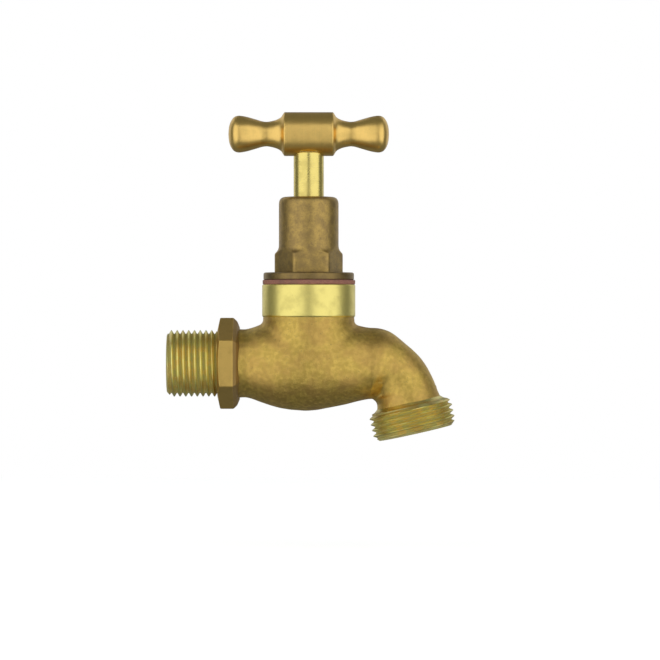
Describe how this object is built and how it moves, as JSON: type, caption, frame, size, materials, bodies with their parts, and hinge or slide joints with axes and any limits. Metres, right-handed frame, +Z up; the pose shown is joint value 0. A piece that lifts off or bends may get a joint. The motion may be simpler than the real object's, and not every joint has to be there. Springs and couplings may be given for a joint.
{
  "type": "hose bib",
  "caption": "Brass globe-pattern garden tap with a male-threaded inlet, wrench hexagon, screwed bonnet, rising tee-handle spindle, jumper valve and a curved spout with a male hose thread.",
  "frame": {"origin": "centre of the inlet's end face, on the inlet thread's axis", "axes": "+X from the inlet towards the spout, +Z up along the spindle towards the handle, +Y away from the side shown, square to the plane of symmetry"},
  "size_m": [0.0906, 0.0302, 0.1035],
  "materials": {
    "cast_brass": "sand-cast and tumbled, mottled, with machined threads and boss",
    "forged_brass": "hot-forged skin, dull brown-gold",
    "turned_brass": "bright, fine turning marks",
    "handle_brass": "turned and polished",
    "red_fibre": "pressed vulcanised fibre, matt",
    "black_rubber": "matt",
    "white_ptfe": "waxy matt",
    "spring_steel": "plain bright"
  },
  "bodies": {
    "body": {"tap_body": "cast_brass", "bonnet": "forged_brass", "bonnet_washer": "red_fibre"},
    "valve": {"jumper_valve": "turned_brass", "jumper_washer": "black_rubber", "jumper_nut": "turned_brass"},
    "spindle": {"spindle": "turned_brass", "spindle_o_ring_lower": "black_rubber", "spindle_o_ring_upper": "black_rubber", "spindle_slip_washer": "white_ptfe", "jumper_clip": "spring_steel", "t_handle": "handle_brass", "handle_set_screw": "spring_steel"}
  },
  "joints": [
    {"name": "spindle_rise", "type": "slide", "parent": "body", "child": "valve", "axis": [0, 0, 1], "range_m": [0, 0.0055]},
    {"name": "spindle_turn", "type": "hinge", "parent": "valve", "child": "spindle", "pos_m": [0.0446, 0, 0], "axis": [0, 0, 1], "range_deg": [0, 990]}
  ],
  "couplings": [
    {"joint": "spindle_rise", "follows": "spindle_turn", "m_per_rad": 0.00031831}
  ]
}
